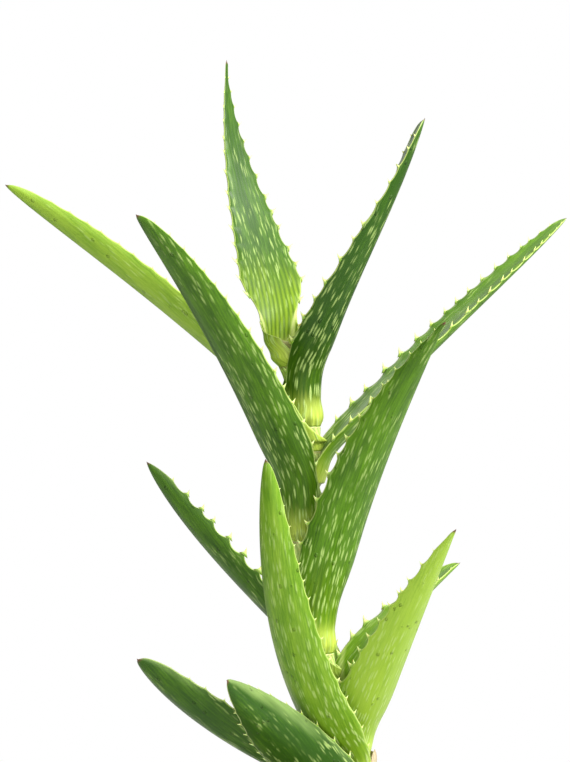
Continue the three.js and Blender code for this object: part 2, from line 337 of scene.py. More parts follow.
def mesh_of(name, points, faces, smooth=True):
    mesh = bpy.data.meshes.new(name)
    mesh.from_pydata([tuple(map(float, p)) for p in points], [], [tuple(map(int, f)) for f in faces])
    mesh.polygons.foreach_set("use_smooth", [smooth] * len(mesh.polygons))
    mesh.update()
    return mesh


def ring_faces(rows, count):
    """The faces of a tube: between each ring of `count` points and the next."""
    faces = []
    for row in range(rows - 1):
        for i in range(count):
            low, high, onward = row * count, (row + 1) * count, (i + 1) % count
            faces.append((low + i, low + onward, high + onward, high + i))
    return faces


def store(mesh, name, vectors):
    """Keeps three numbers for each point of the mesh."""
    kept = mesh.attributes.new(name, "FLOAT_VECTOR", "POINT")
    kept.data.foreach_set("vector", np.asarray(vectors, np.float32).ravel())


print("geometry nodes: Tree and grown are ready")

# %% [markdown]
# ## Reading a piece of the frame
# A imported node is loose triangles. Merging its corners gives back its net of points, and each
# point's neighbours say how the piece was built.

# %% Nets and smooth lines


def net_of(node):
    """A node's merged points and, for each, the set of its neighbours."""
    mesh = frame["nodes"][node].data
    corners = np.round(np.array([v.co for v in mesh.vertices], float), 6)
    points, place = np.unique(corners, axis=0, return_inverse=True)
    place = place.reshape(-1)
    near = [set() for _ in points]
    mesh.calc_loop_triangles()
    for triangle in mesh.loop_triangles:
        a, b, c = (int(place[v]) for v in triangle.vertices)
        near[a] |= {b, c}
        near[b] |= {a, c}
        near[c] |= {a, b}
    for i, friends in enumerate(near):
        friends.discard(i)
    return points, near


def cubic(t, start, start_slope, end, end_slope):
    """The smooth way from one value to another, at t from 0 to 1, with these slopes at its ends."""
    smooth = (2 * t**3 - 3 * t**2 + 1) * start + (t**3 - 2 * t**2 + t) * start_slope
    return smooth + (3 * t**2 - 2 * t**3) * end + (t**3 - t**2) * end_slope


def curve(knots, values, wanted, inner_slope):
    """A smooth curve through values at knots. A rule gives the slopes at the inner knots."""
    knots, values = np.asarray(knots, float), np.asarray(values, float)
    shape = values.shape
    values = values.reshape(len(knots), -1)
    gap = np.diff(knots)[:, None]
    slope = np.diff(values, axis=0) / gap
    tangent = np.vstack([slope[:1], inner_slope(slope, gap), slope[-1:]])
    wanted = np.clip(np.asarray(wanted, float), knots[0], knots[-1])
    at = np.clip(np.searchsorted(knots, wanted, side="right") - 1, 0, len(knots) - 2)
    t = ((wanted - knots[at]) / gap[at, 0])[:, None]
    smooth = cubic(t, values[at], gap[at] * tangent[at], values[at + 1], gap[at] * tangent[at + 1])
    return smooth.reshape((len(wanted), *shape[1:]))


def level_slope(slope, gap):
    """Slopes that never overshoot: none where the curve turns back."""
    before, after = slope[:-1], slope[1:]
    same = before * after > 0
    weight_a, weight_b = 2 * gap[1:] + gap[:-1], gap[1:] + 2 * gap[:-1]
    share = weight_a / np.where(same, before, 1) + weight_b / np.where(same, after, 1)
    return np.where(same, (weight_a + weight_b) / share, 0)


def round_slope(slope, gap):
    """Slopes that look both ways, for places in space."""
    return (slope[:-1] * gap[1:] + slope[1:] * gap[:-1]) / (gap[1:] + gap[:-1])


def unit(v):
    v = np.asarray(v, float)
    return v / np.maximum(np.linalg.norm(v, axis=-1, keepdims=True), 1e-12)


def ease(x):
    x = np.clip(x, 0, 1)
    return x * x * (3 - 2 * x)


print("nets: net_of, cubic and curve are ready")

# %% [markdown]
# ## The stem's line
# The stem is twelve-sided in the frame, one ring every fifteen millimetres. Each ring's middle and
# radius are all that's needed to know where the stem is at any height, for the stem itself and for
# the sheaths that wrap it.

# %% The stem's line
RING_FLATNESS = 0.3 * MM
LEAST_OF_A_RING = 6


def stem_rings():
    """Height, middle and radius of each of the stem's rings."""
    points, _ = net_of("stem")
    rows = []
    for height in np.unique(np.round(points[:, 2], 4)):
        ring = points[np.abs(points[:, 2] - height) < RING_FLATNESS]
        if len(ring) >= LEAST_OF_A_RING:
            middle = (ring.min(0) + ring.max(0)) / 2
            rows.append([height, middle[0], middle[1], np.ptp(ring[:, 0]) / 2])
    return np.array(rows)


STEM_RINGS = stem_rings()


def stem_at(height):
    """The stem's middle and radius at one height, or at several."""
    heights = np.atleast_1d(np.asarray(height, float))
    found = curve(STEM_RINGS[:, 0], STEM_RINGS[:, 1:], heights, round_slope)
    return np.column_stack([found[:, :2], heights]), found[:, 2]


print("stem:", len(STEM_RINGS), "rings, heights", STEM_RINGS[[0, -1], 0].round(3))

# %% [markdown]
# ## Reading a leaf's sections
# An aloe leaf is a tapering gutter. Every section is an arc of flesh with a round back and a hollow
# front, so one section is a point on the back, two directions, a radius, half an angle and a
# thickness. In the frame sixteen points ring each section and all meet in one point at the tip.
# Walking outwards from there finds the sections one by one, until the cut edges of the sheath.

# %% Sections of a leaf
RING = 16
HALF = RING // 2
LEFT, RIGHT = HALF // 2 - 1, HALF // 2  # the two middle points of a half


def ordered(ring, near):
    """A ring's points in the order in which they're joined, or None if they make no single loop."""
    start = min(ring)
    walk, last = [start], None
    while True:
        onward = [n for n in near[walk[-1]] & ring if n != last]
        last = walk[-1]
        fresh = [n for n in onward if n not in walk]
        if not fresh:
            break
        walk.append(fresh[0])
    return walk if len(walk) == len(ring) and start in near[walk[-1]] else None


def ring_walk(node):
    """The tip of a leaf and its rings of sixteen, from the tip down."""
    points, near = net_of(node)
    foot = points[points[:, 2].argmin()]
    tips = [i for i in range(len(points)) if len(near[i]) == RING]
    tip = max(tips, key=lambda i: np.linalg.norm(points[i] - foot))
    seen, front, rings = {tip}, {tip}, []
    while True:
        ring = set().union(*(near[i] for i in front)) - seen
        loop = ordered(ring, near) if len(ring) == RING else None
        if loop is None:
            return points[tip], rings
        rings.append(points[loop])
        seen |= ring
        front = ring


def halves(loop):
    """The back and the front of a ring, each from margin to margin. The margins are its two
    shortest steps that face each other, and the back is the longer way round."""
    steps = np.linalg.norm(np.roll(loop, -1, axis=0) - loop, axis=1)
    cut = int(np.argmin(steps[:HALF] + steps[HALF:])) + 1
    rolled = np.roll(loop, -cut, axis=0)
    first, second = rolled[:HALF], rolled[HALF:]
    lengths = [np.linalg.norm(np.diff(half, axis=0), axis=1).sum() for half in (first, second)]
    return (first, second) if lengths[0] > lengths[1] else (second, first)


def half_angle(whole_chord, middle_chord):
    """Half the angle of an arc, from its chord and the chord of its middle seventh."""
    low, high, halvings = 0.01, 3.13, 40
    for _ in range(halvings):
        angle = (low + high) / 2
        if np.sin(angle) / np.sin(angle / (HALF - 1)) > whole_chord / middle_chord:
            low = angle
        else:
            high = angle
    return low


def section_of(loop):
    """Point on the back, side, back, radius, half angle and thickness of one section."""
    back_row, front_row = halves(loop)
    middle = (back_row[LEFT] + back_row[RIGHT]) / 2
    side = unit(back_row[RIGHT] - back_row[LEFT])
    back = unit(middle - (back_row[0] + back_row[-1]) / 2)
    middle_chord = np.linalg.norm(back_row[RIGHT] - back_row[LEFT])
    spread = half_angle(np.linalg.norm(back_row[-1] - back_row[0]), middle_chord)
    radius = middle_chord / (2 * np.sin(spread / (HALF - 1)))
    on_back = middle + back * radius * (1 - np.cos(spread / (HALF - 1)))
    thickness = np.linalg.norm(middle - (front_row[LEFT] + front_row[RIGHT]) / 2)
    return {"at": on_back, "side": side, "back": back, "radius": radius, "spread": spread,
            "thick": thickness}


def leaf_sections(node):
    """A leaf's sections from its lowest whole one to its tip, all facing one way."""
    tip, rings = ring_walk(node)
    rows = [section_of(loop) for loop in rings]
    for before, row in zip(rows, rows[1:]):
        if np.dot(before["side"], row["side"]) < 0:
            row["side"] = -row["side"]
    rows.reverse()
    ahead = unit(rows[1]["at"] - rows[0]["at"])
    if np.dot(np.cross(ahead, rows[0]["back"]), rows[0]["side"]) < 0:
        for row in rows:
            row["side"] = -row["side"]
    return tip, rows


LEAVES = sorted(name for name in frame["nodes"] if name.startswith("leaf_"))
SECTIONS = {name: leaf_sections(name) for name in LEAVES}
print("leaves:", {name: len(rows) for name, (_, rows) in SECTIONS.items()})
print("half angles of leaf_05:", [round(np.degrees(row["spread"])) for row in SECTIONS["leaf_05"][1]])

# %% [markdown]
# ## Down into the sheath
# A leaf's foot is a sheath that wraps the stem. Where a neighbour's sheath hides it, the frame's
# own piece is cut, so its last sections are missing. They follow the rule of the ones above: the
# arc closes quickly round the stem, its radius shrinks to the stem's, and its line turns upright.

# %% Whole rows of sections
SHEATH_WRAP = np.radians(174)
SHEATH_WALL = 1.2 * MM
SHEATH_GAP = 1.0 * MM
SHEATH_HEIGHT = 4 * MM
SHEATH_SKIRT = 0.35 * MM
CLOSING = 3.5 * MM
LAST_ROOM = 0.85  # of the way from the sheath to the lowest whole section
TIP_RADIUS = 0.35 * MM
TIP_THICK = 0.3 * MM
LEAST_STEP = 0.2 * MM
# Millimetres above the sheath at which a section is set, as far as there is room.
ROOM_STEPS = (0.0, 0.8, 1.6, 2.6, 4.0, 6.0, 9.0, 13.0, 17.0)


def sheath_section(height, outward, stand, wall):
    """One round of sheath whose outside stands off the stem."""
    middle, radius = stem_at(height)
    reach = float(radius[0]) + stand
    side = np.cross([0, 0, 1], outward)
    return {"at": middle[0] + outward * reach, "side": side, "back": outward, "radius": reach,
            "spread": SHEATH_WRAP, "thick": wall}


def foot_sections(node, lowest):
    """The sections below the lowest whole one: the sheath, and the turn out of it."""
    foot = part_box(node)[0].z
    top = foot + SHEATH_HEIGHT
    middle, _ = stem_at(min(top, lowest["at"][2]))
    outward = unit((lowest["at"] - middle[0]) * [1, 1, 0])
    base = [sheath_section(foot, outward, SHEATH_SKIRT, SHEATH_SKIRT)]
    start = sheath_section(top, outward, SHEATH_GAP + SHEATH_WALL, SHEATH_WALL)
    reach = np.linalg.norm(lowest["at"] - start["at"])
    ahead = unit(np.cross(lowest["back"], lowest["side"]))
    if np.dot(ahead, lowest["at"] - start["at"]) < 0:
        ahead = -ahead
    for step in ROOM_STEPS:
        share = step * MM / reach
        if share > LAST_ROOM:
            break
        at = cubic(share, start["at"], reach * np.array([0, 0, 1.0]), lowest["at"], reach * ahead)
        turn = ease(share)
        closing = np.exp(-step * MM / CLOSING)
        row = {"at": at, "side": unit(start["side"] * (1 - turn) + lowest["side"] * turn)}
        back = start["back"] * (1 - turn) + lowest["back"] * turn
        row["back"] = unit(back - row["side"] * np.dot(back, row["side"]))
        row["spread"] = lowest["spread"] + (SHEATH_WRAP - lowest["spread"]) * closing
        row["radius"] = start["radius"] + (lowest["radius"] - start["radius"]) * turn
        row["thick"] = start["thick"] + (lowest["thick"] - start["thick"]) * turn
        base.append(row)
    return base


def whole_rows(node):
    """Arrays of all of a leaf's sections, from its foot to its tip, with the length to each."""
    tip, rows = SECTIONS[node]
    rows = foot_sections(node, rows[0]) + rows
    rows.append({**rows[-1], "at": tip, "radius": TIP_RADIUS, "thick": TIP_THICK})
    arrays = {key: np.array([row[key] for row in rows]) for key in rows[0]}
    steps = np.linalg.norm(np.diff(arrays["at"], axis=0), axis=1)
    arrays["along"] = np.concatenate([[0], np.cumsum(steps)])
    keep = np.concatenate([[True], steps > LEAST_STEP])
    return {key: values[keep] for key, values in arrays.items()}


ROWS = {name: whole_rows(name) for name in LEAVES}
print("lengths:", {name: round(float(rows["along"][-1]), 3) for name, rows in ROWS.items()})

# %% [markdown]
# ## Teeth along the margins
# An aloe's margin is drawn out into small triangular teeth, about a centimetre apart near the foot
# and closer towards the tip, and it pulls in a little between them. Both margins of a leaf get
# their own uneven row. The places are worked out first, because the skin needs them for its dips.

# %% Where the teeth stand
TOOTH_GAP = 10.5 * MM
FIRST_TOOTH = 17 * MM
LAST_TOOTH = 5 * MM


def tooth_row(length, seed):
    """Lengths along a leaf at which one margin has its teeth."""
    chance = np.random.default_rng(seed)
    at = FIRST_TOOTH + chance.uniform(0, 0.5) * TOOTH_GAP
    row = []
    while at < length - LAST_TOOTH:
        row.append(at)
        share = at / length
        at += TOOTH_GAP * (1.12 - 0.5 * share) * chance.uniform(0.8, 1.2)
    return np.array(row)


TEETH = {}
for number, name in enumerate(LEAVES):
    length = ROWS[name]["along"][-1]
    TEETH[name] = {-1: tooth_row(length, 2 * number + 11), 1: tooth_row(length, 2 * number + 12)}
print("teeth:", sum(len(row) for rows in TEETH.values() for row in rows.values()))

# %% [markdown]
# ## Leaf skin
# Skin is lofted through the sections: a fine grid, a row every 0.8 mm and nearly fifty points
# round. Each point also keeps how far along and across the leaf it lies, so that spots and veins
# can follow the leaf however it bends. The margins are rounded over and dip between the teeth.

# %% Leaf skin
ACROSS = 23
ROW_STEP = 0.8 * MM
MARGIN_THICK = 0.5 * MM
LENS_FROM = 18 * MM
DIPS_FROM, DIPS_RISE, DIPS_END = 22 * MM, 34 * MM, 30 * MM
DIP_REACH = 1.5 * MM
TIP_POINT = 0.6 * MM
CROWDING = 0.35  # how much closer the points lie near the margins
# Millimetres from the tip at which the last rows lie.
TIP_ROWS = (4, 3.2, 2.5, 1.9, 1.4, 1.0, 0.6, 0.3, 0.0)

# For each leaf: how light it is, how thickly spotted, how pale its foot is, each from 0 to 1, how
# deep its margin dips between teeth, as a share of their distance, and how long its teeth are.
LOOKS = {
    "leaf_01": (0.22, 0.50, 0.90, 0.12, 0.80), "leaf_02": (0.12, 1.00, 0.35, 0.08, 0.75),
    "leaf_03": (0.84, 0.35, 0.30, 0.06, 0.40), "leaf_04": (0.44, 0.55, 0.50, 0.12, 0.85),
    "leaf_05": (0.32, 0.70, 0.30, 0.05, 0.75), "leaf_06": (0.38, 0.85, 0.62, 0.12, 0.80),
    "leaf_07": (0.28, 0.25, 0.20, 0.24, 0.95), "leaf_08": (0.62, 0.55, 0.40, 0.18, 1.00),
    "leaf_09": (0.60, 0.40, 0.40, 0.10, 0.80), "leaf_10": (1.00, 0.75, 0.65, 0.13, 0.80),
    "leaf_11": (0.64, 0.95, 0.62, 0.06, 0.50), "leaf_12": (0.22, 0.50, 0.30, 0.07, 0.50),
    "leaf_13": (0.12, 0.50, 0.30, 0.06, 0.70), "leaf_14": (0.40, 0.50, 0.40, 0.10, 0.80),
    "leaf_15": (0.42, 0.50, 0.40, 0.10, 0.80), "leaf_16": (0.35, 0.50, 0.40, 0.10, 0.80),
}


def sampled(rows, stations):
    """A leaf's sections at any lengths along it."""
    along = rows["along"]
    out = {key: curve(along, rows[key], stations, round_slope) for key in ("at", "side", "back")}
    for key in ("radius", "spread", "thick"):
        out[key] = curve(along, rows[key], stations, level_slope)
    out["side"] = unit(out["side"])
    out["back"] = unit(out["back"] - out["side"] * (out["back"] * out["side"]).sum(1)[:, None])
    return out


def dips(stations, row, depth):
    """How far the margin draws back between teeth, in metres."""
    if len(row) < 2:
        return np.zeros(len(stations))
    at = np.clip(np.searchsorted(row, stations) - 1, 0, len(row) - 2)
    gap = row[at + 1] - row[at]
    share = np.clip((stations - row[at]) / gap, 0, 1)
    return -depth * gap * (1 - np.abs(2 * share - 1) ** 2.2)


def margin_dip(node, got, stations, hand):
    """The angle by which one margin draws back between its teeth, fading on the sheath and tip."""
    fading = ease((stations - DIPS_FROM) / DIPS_RISE) * ease((stations[-1] - stations) / DIPS_END)
    depth = dips(stations, TEETH[node][hand], LOOKS[node][3])
    return depth * fading / np.maximum(got["radius"], DIP_REACH)


def turned(got, angle):
    """Directions from the middle of a leaf's arc and along the arc, at an angle from its back."""
    cosine, sine = np.cos(angle)[:, None], np.sin(angle)[:, None]
    return sine * got["side"] + cosine * got["back"], cosine * got["side"] - sine * got["back"]


def on_arc(got, around, depth):
    """Points on a leaf's arc, some depth under its back."""
    centre = got["at"] - got["back"] * got["radius"][:, None]
    return centre + around * (got["radius"] - depth)[:, None]


def leaf_skin(node):
    """One leaf's skin: round its back, over a margin, round its front and over the other margin."""
    rows = ROWS[node]
    length = rows["along"][-1]
    stations = np.concatenate([np.arange(0, length - TIP_ROWS[0] * MM, ROW_STEP),
                               length - MM * np.array(TIP_ROWS)])
    got = sampled(rows, stations)
    even = np.linspace(-1, 1, ACROSS)
    acrosses = np.sin(even * np.pi / 2) * CROWDING + even * (1 - CROWDING)
    dip = {hand: margin_dip(node, got, stations, hand) for hand in (-1, 1)}
    lens = 0.8 * ease((stations - SHEATH_HEIGHT) / LENS_FROM)
    edge = np.minimum(MARGIN_THICK, 0.4 * got["thick"])
    loop, places, shares = [], [], []

    def add(across, depth_share, push, face):
        """One line of points along the leaf."""
        around, onward = turned(got, across * got["spread"] + across * abs(across) ** 4
                                * dip[-1 if across < 0 else 1])
        flesh = edge + (got["thick"] - edge) * max(1 - across**2, 1e-6) ** lens
        loop.append(on_arc(got, around, depth_share * flesh) + onward * (push * edge)[:, None])
        arc = across * got["spread"] * got["radius"] / MM
        flat = np.ones(len(stations))
        places.append(np.column_stack([stations / MM, arc, face * flat]))
        shares.append(np.column_stack([stations / length, across * flat, (length - stations) / MM]))

    for across in acrosses:
        add(across, 0, 0, 1)
    add(1.0, 0.5, 0.45, 1)
    for across in acrosses[::-1]:
        add(across, 1, 0, 0)
    add(-1.0, 0.5, -0.45, 1)
    count = len(loop)
    points = np.stack(loop, axis=1).reshape(-1, 3)
    faces = ring_faces(len(stations), count)
    for i in range(ACROSS - 1):
        faces.append((i, 2 * ACROSS - i, 2 * ACROSS - 1 - i, i + 1))
    faces.append((0, 2 * ACROSS + 1, 2 * ACROSS))
    faces.append((ACROSS - 1, ACROSS + 1, ACROSS))
    ahead = unit(got["at"][-1] - got["at"][-4])
    points = np.vstack([points, points[-count:].mean(0) + ahead * TIP_POINT])
    pole, last = len(points) - 1, (len(stations) - 1) * count
    faces += [(last + i, last + (i + 1) % count, pole) for i in range(count)]
    mesh = mesh_of(node + "_skin", points, faces)
    for name, lines in (("leaf_place", places), ("leaf_share", shares)):
        grid = np.stack(lines, axis=1).reshape(-1, 3)
        store(mesh, name, np.vstack([grid, grid[-1:]]))
    store(mesh, "leaf_looks", np.tile(LOOKS[node][:3], (len(points), 1)))
    return mesh


SKINS = {name: leaf_skin(name) for name in LEAVES}
print("skin:", sum(len(mesh.polygons) for mesh in SKINS.values()), "faces on", len(SKINS), "leaves")

# %% [markdown]
# ## The finish of a leaf
# The skin is waxy green, darker on some leaves, with a painted sheen of pale wax-green where its back
# faces up, standing in for light from above. It pales to yellow-green where the leaf meets the stem,
# and a pale rim ends the hollow front there. Long pale spots lie along it, thickest near the foot,
# over fine veins and a few low bumps. The margin is a thin line without green, and the tip dries to
# red-brown. All of it but the painted sheen is drawn in the leaf's own lengths: millimetres along
# and round it, and shares of its length and width.

# %% The finish of a leaf
DEEP_GREEN, LEAF_GREEN, YOUNG_GREEN = (0.016, 0.060, 0.0005), (0.095, 0.225, 0.004), (0.27, 0.42, 0.035)
# The first colour on the next line is a pale wax-green, painted on as sheen where a leaf's back faces up.
PAINTED_SHEEN, VEIN, FOOT, SPOT = (0.33, 0.46, 0.16), (0.27, 0.42, 0.014), (0.60, 0.72, 0.11), (0.42, 0.56, 0.17)
RIM, BUMP, MARGIN, DRY_TIP = (0.68, 0.76, 0.26), (0.03, 0.07, 0.004), (0.50, 0.60, 0.16), (0.11, 0.045, 0.025)
leaf_finish = Finish("leaf_skin", IOR=1.26, Coat_Weight=0.14, Coat_Roughness=0.34, Coat_IOR=1.45)


def leaf_paint(f):
    place, (along, arc, back) = f.stored("leaf_place")
    _, (share, across, to_tip) = f.stored("leaf_share")
    _, (tone, spotted, pale_foot) = f.stored("leaf_looks")
    own = f.node("CombineXYZ", {}, {0: tone * 370.0, 1: pale_foot * 210.0, 2: back * 9.0})
    shifted = f.node("VectorMath", {"operation": "ADD"}, {0: place, 1: own})
    clouds = f.noise(f.stretched(shifted, (0.035, 0.16, 0.7)), 1.0)
    fine = f.noise(f.stretched(shifted, (0.6, 2.0, 1.0)), 1.0, 3.0)
    streaks = f.noise(f.stretched(shifted, (0.10, 1.5, 1.0)), 1.0, 2.0)
    front = 1.0 - back

    # Patchy green, with a painted sheen of pale wax-green on what faces up.
    light = tone + clouds * 0.5 - 0.25 + fine * 0.16 - 0.08 + streaks * 0.5 - 0.25
    green = f.mix(DEEP_GREEN, LEAF_GREEN, light.rise(0.05, 0.7))
    green = f.mix(green, YOUNG_GREEN, light.rise(0.45, 1.1))
    # Painted sheen: the back is made paler where its normal faces up, standing in for light from above.
    facing_up = f.node("SeparateXYZ", {}, {0: f.node("NewGeometry", {}, {}, "Normal")}, 2)
    bloom_and_sheen = (facing_up + clouds * 0.8).rise(0.35, 1.15) * back
    green = f.mix(green, PAINTED_SHEEN, bloom_and_sheen * 0.55)

    # Veins and yellow-green towards the foot.
    veins = (arc * 2.8 + clouds * 3.0).wave() * 0.5 + 0.5
    nearness = (along + clouds * 30.0 + back * 11.0).rise(75.0, 32.0) * pale_foot * pale_foot
    green = f.mix(green, VEIN, nearness * (veins * 0.62 + 0.30))
    foot = (along + streaks * 16.0).rise(25.0, 13.0) * (pale_foot * 2.2).rise(0.0, 1.0)
    green = f.mix(green, FOOT, foot * (streaks.rise(0.40, 0.62) * 0.45 + 0.50))

    # Long pale spots, in crowds, and none over the veins of a pale hollow front.
    wobble = f.noise(f.stretched(shifted, (0.22, 0.22, 1.0)), 1.0)
    drawn = f.node("CombineXYZ", {}, {
        0: along * 0.14 + tone * 91.0 + wobble * 0.5,
        1: arc * 0.80 + pale_foot * 37.0 + wobble * 0.35, 2: back * 5.0})
    spots = f.cells(drawn, 1.0)
    crowd = f.noise(f.stretched(shifted, (0.05, 0.11, 1.0)), 1.0)
    where = (crowd + share.rise(0.85, 0.05) * 0.30 + spotted * 0.28).rise(0.62, 0.86)
    spot = (spots + fine * 0.20 - 0.10).rise(0.48, 0.14) * where * (1.0 - nearness * front * 0.9)
    green = f.mix(green, SPOT, spot * (share.rise(0.55, 0.05) * 0.34 + 0.44))

    # The rim that ends the hollow front, low bumps, the pale margin and the dry tip.
    hollow_end = along + clouds * 5.0 - across * across * 13.0 - 12.0
    rim = hollow_end.size().rise(3.6, 0.6) * front * pale_foot
    green = f.mix(green, RIM, rim * 0.75)
    scattered = f.cells(f.stretched(shifted, (0.15, 0.21, 1.0)), 1.0)
    bumps = scattered.rise(0.17, 0.07) * back * along.rise(20.0, 45.0)
    green = f.mix(green, BUMP, bumps * 0.22)
    green = f.mix(green, MARGIN, across.size().rise(0.965, 0.995) * 0.5)
    dry = (to_tip + clouds * 2.0).rise(2.8, 0.9)
    f.paint(Base_Color=f.mix(green, DRY_TIP, dry))
    f.paint(Roughness=0.42 + fine * 0.10 + bumps * 0.1)
    f.relief(fine * 0.12 + veins * 0.12 + spot * 0.35 + bumps * 1.8, 0.0003)


leaf_paint(leaf_finish)
print("leaf finish:", len(leaf_finish.tree.nodes), "nodes")

# %% [markdown]
# ## Teeth by Geometry Nodes
# One tooth is modelled: a flat, curved thorn. The tree sets a copy on each point of the margin,
# stands it outwards, leans it towards the tip and sizes it. The directions and sizes are stored on
# the points, so one tree serves every leaf.

# %% Teeth by Geometry Nodes
TOOTH_LENGTH = 3.5 * MM
TOOTH_LEAN = 0.22
TOOTH_POINT_LEAN = 0.36
# Height, half width, half thickness and lean of the tooth's levels, where its height is 1.
TOOTH_LEVELS = ((-0.25, 0.80, 0.10, 0.0), (0.04, 0.46, 0.12, 0.01), (0.22, 0.29, 0.11, 0.03),
                (0.48, 0.18, 0.085, 0.09), (0.76, 0.09, 0.05, 0.20))


def tooth_mesh():
    """One tooth of height 1, its foot sunk under 0, with how far up each point is."""
    points, ups, sides = [], [], 8
    for up, wide, thick, lean in TOOTH_LEVELS:
        for i in range(sides):
            angle = 2 * np.pi * i / sides
            points.append((lean + wide * np.cos(angle), thick * np.sin(angle), up))
            ups.append((up, 0, 0))
    points.append((TOOTH_POINT_LEAN, 0, 1.0))
    ups.append((1, 0, 0))
    faces = [tuple(reversed(range(sides)))] + ring_faces(len(TOOTH_LEVELS), sides)
    last = (len(TOOTH_LEVELS) - 1) * sides
    faces += [(last + i, last + (i + 1) % sides, len(points) - 1) for i in range(sides)]
    mesh = mesh_of("tooth", points, faces)
    store(mesh, "tooth_up", ups)
    return mesh


def teeth_tree():
    tree = Tree("teeth_on_a_margin", {"Tooth": "Object", "Tooth length": "Float",
                                      "Finish": "Material"})
    align = "FunctionNodeAlignRotationToVector"
    upright = tree.node(align, {"axis": "Z"}, {"Vector": tree.attribute("outward", "FLOAT_VECTOR")})
    leaning = tree.node(align, {"axis": "X", "pivot_axis": "Z"}, {
        "Rotation": upright, "Vector": tree.attribute("onward", "FLOAT_VECTOR")})
    size = tree.maths("MULTIPLY", tree.attribute("tooth_size", "FLOAT"), tree.input("Tooth length"))
    one = tree.node("GeometryNodeObjectInfo", {}, {"Object": tree.input("Tooth"), "As Instance": True})
    copies = tree.node("GeometryNodeInstanceOnPoints", {}, {
        "Points": tree.input("Geometry"), "Instance": one.outputs["Geometry"],
        "Rotation": leaning, "Scale": size})
    tree.finish(copies, tree.input("Finish"))
    return tree


def margin_points(node):
    """A bare mesh of the teeth's places, with their directions and sizes stored on it."""
    rows = ROWS[node]
    length = rows["along"][-1]
    chance = np.random.default_rng(LEAVES.index(node) + 90)
    spots, outs, ons, sizes = [], [], [], []
    for hand, row in TEETH[node].items():
        got = sampled(rows, row)
        later = sampled(rows, row + 1 * MM)
        around, outward = turned(got, hand * got["spread"])
        spots.append(on_arc(got, around, np.minimum(MARGIN_THICK, 0.4 * got["thick"]) / 2))
        onward = unit(later["at"] - got["at"])
        outs.append(unit(hand * outward + TOOTH_LEAN * onward))
        ons.append(onward)
        share = row / length
        rough = chance.uniform(0.8, 1.15, len(row)) * LOOKS[node][4]
        sizes.append((0.5 + 0.5 * ease(share * 5)) * (1 - 0.62 * share**2) * rough)
    mesh = mesh_of(node + "_margins", np.vstack(spots), [])
    store(mesh, "outward", np.vstack(outs))
    store(mesh, "onward", np.vstack(ons))
    kept = mesh.attributes.new("tooth_size", "FLOAT", "POINT")
    kept.data.foreach_set("value", np.concatenate(sizes).astype(np.float32))
    return mesh


tooth_finish = Finish("tooth", Roughness=0.38, Subsurface_Weight=0.2, Subsurface_Scale=0.002)
_, (up, _, _) = tooth_finish.stored("tooth_up")
horn = tooth_finish.mix((0.20, 0.34, 0.03), (0.60, 0.70, 0.24), up.rise(-0.1, 0.35))
horn = tooth_finish.mix(horn, (0.52, 0.36, 0.15), up.rise(0.75, 1.0) * 0.7)
tooth_finish.paint(Base_Color=horn)

one_tooth = shown("one_tooth", tooth_mesh())
TEETH_TREE = teeth_tree()
TEETH_PIECES = {}
for name in LEAVES:
    TEETH_PIECES[name] = grown(name + "_teeth", margin_points(name), TEETH_TREE, {
        "Tooth": one_tooth, "Tooth length": TOOTH_LENGTH, "Finish": tooth_finish.material})
bpy.data.objects.remove(one_tooth)
print("teeth:", sum(len(piece.data.polygons) for piece in TEETH_PIECES.values()), "faces")

# %% [markdown]
# ## The leaves take their places
# Each skin stands for its leaf of the frame, and its teeth ride with it.

# %% Leaves in place
for name in LEAVES:
    SKINS[name].materials.append(leaf_finish.material)
    leaf = shown(name + "_skin", SKINS[name])
    for piece in (leaf, TEETH_PIECES[name]):
        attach(piece, "root")
    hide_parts(name)
print("leaves in place:", len(LEAVES))

# %% [markdown]
# ## Stem
# The stem of a climbing aloe is a smooth green cane, ringed where leaves clasped it, and striped
# just under each sheath. The tube follows the frame's rings with many more of its own, and swells a
# little at each leaf. It keeps how far below the next leaf each point lies, for the colours.

# %% Stem
STEM_SIDES = 32
STEM_ROWS = 290
NODE_SWELL, SWELL_REACH = 0.35 * MM, 2.5 * MM
STEM_POINT = 1.2 * MM
SHEATH_FEET = np.sort([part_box(name)[0].z for name in LEAVES])


def stem_mesh():
    heights = np.linspace(STEM_RINGS[0, 0], STEM_RINGS[-1, 0], STEM_ROWS)
    middles, radii = stem_at(heights)
    above = np.searchsorted(SHEATH_FEET, heights)
    next_foot = SHEATH_FEET[np.minimum(above, len(SHEATH_FEET) - 1)]
    below = np.where(above < len(SHEATH_FEET), next_foot - heights, 0)
    radii = radii + NODE_SWELL * np.exp(-((below / SWELL_REACH) ** 2))
    points, places = [], []
    for i, height in enumerate(heights):
        for side in range(STEM_SIDES):
            angle = 2 * np.pi * side / STEM_SIDES
            points.append(middles[i] + radii[i] * np.array([np.cos(angle), np.sin(angle), 0]))
            places.append((height / MM, angle * radii[i] / MM, below[i] / MM))
    faces = ring_faces(STEM_ROWS, STEM_SIDES)
    points += [middles[0], middles[-1] + np.array([0, 0, STEM_POINT])]
    places += [places[0], places[-1]]
    last = (STEM_ROWS - 1) * STEM_SIDES
    for i in range(STEM_SIDES):
        onward = (i + 1) % STEM_SIDES
        faces += [(onward, i, len(points) - 2), (last + i, last + onward, len(points) - 1)]
    mesh = mesh_of("stem_skin", points, faces)
    store(mesh, "stem_place", places)
    return mesh


